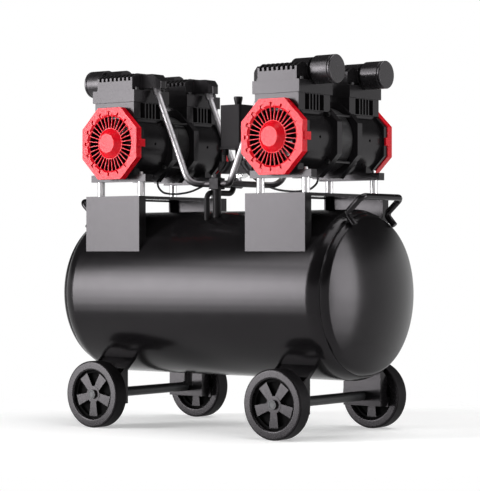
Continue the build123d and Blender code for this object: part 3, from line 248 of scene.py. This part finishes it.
def darkened_below(material, colour, bottom, top):
    """Lets a material's colour go over into a darker one between two heights."""
    tree = material.node_tree
    shader = tree.nodes["Principled BSDF"]
    tint = shader.inputs["Base Color"].links[0].from_socket
    place = tree.nodes.new("ShaderNodeTexCoord")
    split = tree.nodes.new("ShaderNodeSeparateXYZ")
    link(tree, place, "Object", split, "Vector")
    rise = ranged(tree, split, "Z", 0.0, 1.0, bottom, top)
    rise.interpolation_type = "SMOOTHSTEP"
    blend = mixed(tree, rise, "Result", shade(colour, 1), shade(colour, 1))
    tree.links.new(tint, blend.inputs[MIX_SECOND])
    tree.links.new(blend.outputs[MIX_RESULT], shader.inputs["Base Color"])
    return material


def laminated(name, colour, roughness, pitch):
    """Stacked steel sheets, seen edge on along Y."""
    material = surface(name, colour, roughness, metal=0.2, specular=0.25, mottle=0.25, mottle_size=0.01)
    tree = material.node_tree
    shader = tree.nodes["Principled BSDF"]
    place = tree.nodes.new("ShaderNodeTexCoord")
    bands = tree.nodes.new("ShaderNodeTexWave")
    bands.bands_direction = "Y"
    bands.inputs["Scale"].default_value = 2 * pi / (WAVE_RADIANS * pitch)
    link(tree, place, "Object", bands, "Vector")
    bump = tree.nodes.new("ShaderNodeBump")
    bump.inputs["Distance"].default_value = pitch / PITCH_PER_GROOVE_DEPTH
    link(tree, bands, "Fac", bump, "Height")
    link(tree, bump, "Normal", shader, "Normal")
    return material


def glass(name):
    material = surface(name, GLASS_TINT, 0.05, mottle=0.01, spread=0.02, grain_depth=0.000001)
    shader = material.node_tree.nodes["Principled BSDF"]
    shader.inputs["Transmission Weight"].default_value = 1.0
    shader.inputs["IOR"].default_value = GLASS_INDEX
    return material


BLACK = (0.005, 0.0046, 0.005)
GRAPHITE = (0.009, 0.0083, 0.009)
# Edge tint: partly wear, partly a painted highlight along sharp edges
EDGE_WEAR_AND_HIGHLIGHT = (0.03, 0.028, 0.03)
# Pipe colour goes darker towards the bottom, between these two heights
PIPE_LOWER_TONE = (0.035, 0.032, 0.034)
PIPE_DARK_BELOW = 0.470
PIPE_PALE_ABOVE = 0.500
ALONG_Z = (1, 1, 0.05)
ALONG_Y = (1, 0.05, 1)

finish = {
    "tank_paint": surface("tank_paint", BLACK, 0.19, specular=0.195, mottle=0.2, mottle_size=0.12,
                          spread=0.015, grain_size=0.0022, grain_depth=0.000006),
    "frame_paint": surface("frame_paint", BLACK, 0.19, specular=0.2, spread=0.015, grain_size=0.0012,
                           grain_depth=0.000008, edge_wear_and_highlight=(EDGE_WEAR_AND_HIGHLIGHT, 0.001)),
    "tyre_rubber": surface("tyre_rubber", (0.006, 0.0055, 0.006), 0.27, specular=0.24, mottle=0.15,
                           spread=0.012, grain_size=0.001, grain_depth=0.000008),
    "hub_plastic": surface("hub_plastic", GRAPHITE, 0.26, specular=0.25, spread=0.03, grain_size=0.0006),
    "axle_steel": surface("axle_steel", (0.05, 0.05, 0.052), 0.36, metal=0.5, specular=0.2, stretch=ALONG_Y),
    "post_steel": surface("post_steel", (0.52, 0.51, 0.52), 0.30, metal=1.0, mottle=0.05,
                          grain_size=0.0006, stretch=ALONG_Z),
    "casting_black": surface("casting_black", GRAPHITE, 0.24, specular=0.23, mottle=0.15, mottle_size=0.015,
                             spread=0.015, grain_size=0.0011, grain_depth=0.00002,
                             edge_wear_and_highlight=(EDGE_WEAR_AND_HIGHLIGHT, 0.0012)),
    "stack_grey": laminated("stack_grey", (0.022, 0.021, 0.022), 0.42, 0.001),
    "rotor_steel": surface("rotor_steel", (0.35, 0.35, 0.36), 0.35, metal=1.0, stretch=ALONG_Y),
    "piston_alloy": surface("piston_alloy", (0.62, 0.62, 0.63), 0.4, metal=1.0, grain_depth=0.00004),
    "bearing_steel": surface("bearing_steel", (0.6, 0.6, 0.62), 0.2, metal=1.0, mottle=0.04),
    "filter_plastic": surface("filter_plastic", (0.009, 0.0083, 0.009), 0.28, specular=0.38, spread=0.02,
                              grain_size=0.0007, grain_depth=0.00002),
    "cover_red": surface("cover_red", (0.62, 0.005, 0.014), 0.27, specular=0.17, mottle=0.05, spread=0.02,
                         grain_size=0.0006, grain_depth=0.00001),
    "fan_plastic": surface("fan_plastic", (0.006, 0.006, 0.006), 0.45, specular=0.2),
    "pipe_alloy": darkened_below(
        surface("pipe_alloy", (0.5, 0.48, 0.5), 0.46, metal=1.0, mottle=0.15, mottle_size=0.012,
                grain_size=0.0022, grain_depth=0.00012), PIPE_LOWER_TONE, PIPE_DARK_BELOW, PIPE_PALE_ABOVE),
    "bolt_steel": surface("bolt_steel", (0.035, 0.034, 0.035), 0.4, metal=0.9, mottle=0.1),
    "brass": surface("brass", (0.55, 0.36, 0.13), 0.3, metal=1.0, mottle=0.1, mottle_size=0.01),
    "control_black": surface("control_black", (0.008, 0.0076, 0.008), 0.42, specular=0.12,
                             edge_wear_and_highlight=(EDGE_WEAR_AND_HIGHLIGHT, 0.0008)),
    "switch_plastic": surface("switch_plastic", (0.008, 0.0075, 0.008), 0.42, specular=0.055, spread=0.015,
                              grain_size=0.0005, grain_depth=0.000008),
    "knob_plastic": surface("knob_plastic", (0.006, 0.006, 0.006), 0.3, specular=0.25),
    "gauge_steel": surface("gauge_steel", (0.6, 0.6, 0.6), 0.25, metal=1.0, mottle=0.05),
    "needle_paint": surface("needle_paint", (0.5, 0.01, 0.01), 0.4, mottle=0.05),
    "lead_rubber": surface("lead_rubber", (0.006, 0.006, 0.006), 0.5, specular=0.2, mottle=0.2,
                           mottle_size=0.008),
}
grille_black = surface("grille_black", (0.012, 0.011, 0.012), 0.38, specular=0.14)
tread_rubber = surface("tread_rubber", (0.006, 0.0055, 0.006), 0.55, specular=0.08, mottle=0.3, spread=0.03,
                       grain_size=0.001, grain_depth=0.00004)
rim_shadow = surface("rim_shadow", (0.004, 0.004, 0.004), 0.8, specular=0.05)
copper = surface("winding_copper", (0.45, 0.16, 0.07), 0.4, metal=1.0, mottle=0.2, mottle_size=0.004)
dial_white = surface("dial_white", (0.8, 0.8, 0.78), 0.5, mottle=0.03)
dial_ink = surface("dial_ink", (0.02, 0.02, 0.02), 0.5)
lens_glass = glass("lens_glass")


# Pieces

def family(node):
    words = [word for word in node.split("_") if word not in ENDS + SIDES]
    return "_".join(words)


def middle(node):
    low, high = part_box(node)
    return (low + high) / 2


def piece(name, mesh, materials, node, slot=None):
    """Object made from a bmesh, which rides with a node's body and wears the materials it is given."""
    data = bpy.data.meshes.new(name)
    mesh.to_mesh(data)
    mesh.free()
    for material in materials:
        data.materials.append(material)
    data.shade_smooth()
    data.set_sharp_from_angle(angle=SMOOTH_ANGLE)
    made = bpy.data.objects.new(name, data)
    bpy.context.scene.collection.objects.link(made)
    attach(made, body_of[node])
    slot or slot_of[node]
    return made


def rounded_copy(node, rounding):
    """Mesh of a node with its flat faces joined and its sharp edges rounded."""
    mesh = bmesh.new()
    mesh.from_mesh(nodes[node].data)
    bmesh.ops.remove_doubles(mesh, verts=mesh.verts, dist=WELD_DISTANCE)
    bmesh.ops.dissolve_limit(mesh, angle_limit=FLAT_ANGLE, verts=mesh.verts, edges=mesh.edges)
    sharp = [edge for edge in mesh.edges if edge.is_manifold and edge.calc_face_angle() > EDGE_ANGLE]
    bmesh.ops.bevel(mesh, geom=sharp, offset=rounding, segments=ROUNDING_STEPS, profile=ROUNDING_PROFILE,
                    affect="EDGES", clamp_overlap=True)
    return mesh


def welded_copy(node):
    """Mesh of a turned node with its doubled points joined."""
    mesh = bmesh.new()
    mesh.from_mesh(nodes[node].data)
    bmesh.ops.remove_doubles(mesh, verts=mesh.verts, dist=POLE_DISTANCE)
    return mesh


def dressed(node, materials, choose=None):
    """Piece that stands for a node, with rounded edges and a material chosen for each face."""
    rounding = EDGE_ROUNDING[family(node)]
    mesh = rounded_copy(node, rounding) if rounding else welded_copy(node)
    if choose:
        for face in mesh.faces:
            face.material_index = choose(face)
    made = piece(f"{node}_finished", mesh, materials, node)
    even = made.modifiers.new("even_normals", "WEIGHTED_NORMAL")
    even.keep_sharp = True
    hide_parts(node)
    return made


def lathe(mesh, profile, place, turns):
    """Closed ring of faces from a profile of (radius, distance along the axis); place puts it."""
    rows = []
    for step in range(turns):
        angle = 2 * pi * step / turns
        row = [mesh.verts.new(place(radius * cos(angle), along, radius * sin(angle)))
               for radius, along in profile]
        rows.append(row)
    count = len(profile)
    for first, second in zip(rows, rows[1:] + rows[:1]):
        for number in range(count):
            after = (number + 1) % count
            mesh.faces.new((first[number], first[after], second[after], second[number]))


# Fan covers: red ring and hub, dark bars between them
BAR_INSIDE = 0.0306
BAR_OUTSIDE = 0.0534

# Wheels: the rim and the web lie in the dark behind the spokes
RIM_INSIDE = 0.0427
BOSS_OUTSIDE = 0.0165
SPOKE_FACE = 0.0095
TREAD_RADIUS = 0.0635

# Motors: copper rings beside the stack
WINDING_OUTSIDE = 0.047
WINDING_LENGTH = 0.0149


def radii(face, centre):
    """Smallest and largest distance of a face's corners from an axis along Y."""
    reach = [hypot(vert.co.x - centre.x, vert.co.z - centre.z) for vert in face.verts]
    return min(reach), max(reach)


def bar_chooser(node):
    centre = middle(node)

    def choose(face):
        near, far = radii(face, centre)
        return 1 if near > BAR_INSIDE and far < BAR_OUTSIDE else 0
    return choose


def rim_chooser(node):
    centre = middle(node.replace("wheel_hub", "tyre"))

    def choose(face):
        near, far = radii(face, centre)
        depth = abs(face.calc_center_median().y - centre.y)
        behind = far > BOSS_OUTSIDE and depth < SPOKE_FACE
        return 1 if behind or near > RIM_INSIDE else 0
    return choose


def tread_chooser(node):
    centre = middle(node)

    def choose(face):
        near, far = radii(face, centre)
        return 1 if near > TREAD_RADIUS else 0
    return choose


def winding_chooser(node):
    low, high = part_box(node)
    centre = (low + high) / 2
    stack_end = high.y - WINDING_LENGTH

    def choose(face):
        near, far = radii(face, centre)
        return 1 if abs(face.calc_center_median().y) > stack_end and far < WINDING_OUTSIDE else 0
    return choose


for node in sorted(nodes):
    kind = family(node)
    material = finish[slot_of[node]]
    if kind == "fan_cover":
        dressed(node, [material, grille_black], bar_chooser(node))
    elif kind == "wheel_hub":
        dressed(node, [material, rim_shadow], rim_chooser(node))
    elif kind == "tyre":
        dressed(node, [material, tread_rubber], tread_chooser(node))
    elif kind == "stator":
        dressed(node, [material, copper], winding_chooser(node))
    elif kind in EDGE_ROUNDING:
        dressed(node, [material])
    else:
        nodes[node].data.materials.clear()
        nodes[node].data.materials.append(material)


# Gauge: pale dial with ticks and numbers round the needle's sweep, under a lens
DIAL_RECESS = 0.008
DIAL_RADIUS = 0.0178
DIAL_HOLE = 0.00105
DIAL_SHEET = 0.0002
DIAL_SIDES = 64
INK_SHEET = 0.00005
DIAL_ZERO = radians(135.0)
DIAL_SWEEP = radians(270.0)
DIAL_TOP = 10
TICKS_PER_UNIT = 5
TICK_OUTSIDE = 0.0168
UNIT_TICK = 0.0028
FINE_TICK = 0.0014
UNIT_TICK_WIDTH = 0.0005
FINE_TICK_WIDTH = 0.00025
NUMBER_STEP = 2
NUMBER_RADIUS = 0.0113
NUMBER_SIZE = 0.0036
LENS_RECESS = 0.0008
LENS_SHEET = 0.0012


def ring_piece(name, material, inside, outside, back, front):
    """Flat ring round the gauge's axis, which runs along Y."""
    centre = middle("gauge_case")

    def place(across, along, up):
        return Vector((centre.x + across, along, centre.z + up))

    mesh = bmesh.new()
    lathe(mesh, [(inside, back), (outside, back), (outside, front), (inside, front)], place, DIAL_SIDES)
    bmesh.ops.recalc_face_normals(mesh, faces=mesh.faces)
    return piece(name, mesh, [material], "gauge_case")


def dial_place(value, radius, height):
    """Matrix that puts a flat mark upright on the dial, facing +Y."""
    centre = middle("gauge_case")
    angle = DIAL_ZERO - DIAL_SWEEP * value / DIAL_TOP
    spot = Vector((centre.x + radius * sin(angle), height, centre.z + radius * cos(angle)))
    upright = Matrix(((-1, 0, 0), (0, 0, 1), (0, 1, 0))).to_4x4()
    return Matrix.Translation(spot) @ upright, angle


def add_tick(mesh, value, length, width, height):
    place, angle = dial_place(value, TICK_OUTSIDE - length / 2, height)
    size = Matrix.Diagonal((width, length, INK_SHEET, 1))
    bmesh.ops.create_cube(mesh, size=1.0, matrix=place @ Matrix.Rotation(angle, 4, "Z") @ size)


def add_number(mesh, value, height):
    curve = bpy.data.curves.new("number", "FONT")
    curve.body = str(value)
    curve.size = NUMBER_SIZE
    curve.align_x = "CENTER"
    curve.align_y = "CENTER"
    curve.extrude = INK_SHEET
    holder = bpy.data.objects.new("number", curve)
    flat = bpy.data.meshes.new_from_object(holder)
    place, angle = dial_place(value, NUMBER_RADIUS, height)
    flat.transform(place)
    mesh.from_mesh(flat)
    bpy.data.objects.remove(holder)
    bpy.data.curves.remove(curve)
    bpy.data.meshes.remove(flat)


def lens_piece(front):
    """Flat round pane that closes the gauge."""
    centre = middle("gauge_case")
    spot = Vector((centre.x, front - LENS_SHEET / 2, centre.z))
    place = Matrix.Translation(spot) @ Matrix.Rotation(pi / 2, 4, "X")
    mesh = bmesh.new()
    bmesh.ops.create_cone(mesh, cap_ends=True, segments=DIAL_SIDES, radius1=DIAL_RADIUS,
                          radius2=DIAL_RADIUS, depth=LENS_SHEET, matrix=place)
    return piece("gauge_lens", mesh, [lens_glass], "gauge_case")


case_low, case_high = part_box("gauge_case")
dial_back = case_high.y - DIAL_RECESS
dial_front = dial_back + DIAL_SHEET
ring_piece("gauge_dial", dial_white, DIAL_HOLE, DIAL_RADIUS, dial_back, dial_front)
marks = bmesh.new()
for number in range(DIAL_TOP * TICKS_PER_UNIT + 1):
    if number % TICKS_PER_UNIT:
        add_tick(marks, number / TICKS_PER_UNIT, FINE_TICK, FINE_TICK_WIDTH, dial_front)
        continue
    add_tick(marks, number / TICKS_PER_UNIT, UNIT_TICK, UNIT_TICK_WIDTH, dial_front)
for number in range(0, DIAL_TOP + 1, NUMBER_STEP):
    add_number(marks, number, dial_front)
piece("gauge_marks", marks, [dial_ink], "gauge_case")
lens_piece(case_high.y - LENS_RECESS)


# Stage

def sum_of(tree, source, outputs, factor):
    """Sum of a node's outputs, clamped to 1, times a factor."""
    total = tree.nodes.new("ShaderNodeMath")
    total.operation = "ADD"
    total.use_clamp = True
    link(tree, source, outputs[0], total, 0)
    link(tree, source, outputs[1], total, 1)
    for output in outputs[2:]:
        longer = tree.nodes.new("ShaderNodeMath")
        longer.operation = "ADD"
        longer.use_clamp = True
        link(tree, total, "Value", longer, 0)
        link(tree, source, output, longer, 1)
        total = longer
    scaled = tree.nodes.new("ShaderNodeMath")
    scaled.operation = "MULTIPLY"
    scaled.inputs[1].default_value = factor
    link(tree, total, "Value", scaled, 0)
    return scaled


def floor_material():
    """Pale floor that fades into the white surroundings away from the object."""
    material = bpy.data.materials.new("pale_floor")
    material.use_nodes = True
    tree = material.node_tree
    shader = tree.nodes["Principled BSDF"]
    shader.inputs["Base Color"].default_value = FLOOR_COLOUR + (1.0,)
    shader.inputs["Roughness"].default_value = FLOOR_ROUGHNESS
    shader.inputs["Specular IOR Level"].default_value = 0.0
    place = tree.nodes.new("ShaderNodeTexCoord")
    reach = tree.nodes.new("ShaderNodeVectorMath")
    reach.operation = "LENGTH"
    tree.links.new(place.outputs["Object"], reach.inputs[0])
    fade = ranged(tree, reach, "Value", 1.0, 0.0, FLOOR_SOLID, FLOOR_GONE)
    fade.interpolation_type = "SMOOTHSTEP"
    link(tree, fade, "Result", shader, "Alpha")
    rays = tree.nodes.new("ShaderNodeLightPath")
    glow = sum_of(tree, rays, ("Is Camera Ray", "Is Glossy Ray", "Is Transmission Ray"), FLOOR_GLOW)
    shader.inputs["Emission Color"].default_value = WHITE
    link(tree, glow, "Value", shader, "Emission Strength")
    return material


floor_mesh = bmesh.new()
bmesh.ops.create_circle(floor_mesh, cap_ends=True, segments=FLOOR_SIDES, radius=FLOOR_RADIUS)
floor_data = bpy.data.meshes.new("floor")
floor_mesh.to_mesh(floor_data)
floor_mesh.free()
floor_data.materials.append(floor_material())
floor = bpy.data.objects.new("floor", floor_data)
bpy.context.scene.collection.objects.link(floor)


# Light

def white_surroundings():
    """World that is white round the horizon and dark overhead."""
    world = bpy.data.worlds.new("surroundings")
    bpy.context.scene.world = world
    world.use_nodes = True
    tree = world.node_tree
    background = tree.nodes["Background"]
    background.inputs["Color"].default_value = WHITE
    place = tree.nodes.new("ShaderNodeTexCoord")
    split = tree.nodes.new("ShaderNodeSeparateXYZ")
    link(tree, place, "Generated", split, "Vector")
    level = ranged(tree, split, "Z", 1.0, SKY_DARK, SKY_WHITE_BELOW, SKY_DARK_ABOVE)
    level.interpolation_type = "SMOOTHSTEP"
    link(tree, level, "Result", background, "Strength")


def soft_light(name, radiance, width, height, position, target):
    data = bpy.data.lights.new(name, "AREA")
    data.shape = "RECTANGLE"
    data.size = width
    data.size_y = height
    data.energy = pi * radiance * width * height
    lamp = bpy.data.objects.new(name, data)
    lamp.location = position
    aim = Vector(target) - Vector(position)
    lamp.rotation_euler = aim.to_track_quat("-Z", "Y").to_euler()
    lamp.visible_camera = False
    bpy.context.scene.collection.objects.link(lamp)
    return lamp


white_surroundings()
for number, (height, radiance) in enumerate(KEY_PANELS):
    away = 1 + number * PANEL_STAGGER
    place = (KEY_X * away, KEY_Y * away, KEY_HEIGHT)
    soft_light(f"key_light_{number}", radiance, KEY_WIDTH, height, place, (0.0, 0.0, KEY_HEIGHT))
for number, (height, radiance) in enumerate(STRIP_PANELS):
    away = 1 + number * PANEL_STAGGER
    place = (STRIP_X * away, STRIP_Y * away, STRIP_HEIGHT)
    strip = soft_light(f"side_strip_{number}", radiance, STRIP_WIDTH, height, place, STRIP_TARGET)
    strip.visible_diffuse = False
rise_place = (KEY_X, KEY_Y, RISE_HEIGHT)
soft_light("rising_light", RISE_RADIANCE, KEY_WIDTH, RISE_LENGTH, rise_place, MACHINE_MIDDLE)
soft_light("top_light", TOP_RADIANCE, TOP_SIDE, TOP_SIDE, TOP_PLACE, MACHINE_MIDDLE)


# Camera

camera_data = bpy.data.cameras.new("photo_view")
camera_data.sensor_width = SENSOR
camera_data.lens = FOCAL_PIXELS * SENSOR / IMAGE_HEIGHT
camera_data.shift_x = AXIS_PIXELS_LEFT / IMAGE_HEIGHT
camera_data.shift_y = HORIZON_PIXELS_DOWN / IMAGE_HEIGHT
camera = bpy.data.objects.new("photo_view", camera_data)
camera.location = (VIEW_DISTANCE * sin(VIEW_AZIMUTH), -VIEW_DISTANCE * cos(VIEW_AZIMUTH), VIEW_HEIGHT)
camera.rotation_euler = (pi / 2, 0.0, VIEW_AZIMUTH)
bpy.context.scene.collection.objects.link(camera)
bpy.context.scene.camera = camera
bpy.context.scene.view_settings.view_transform = "Standard"
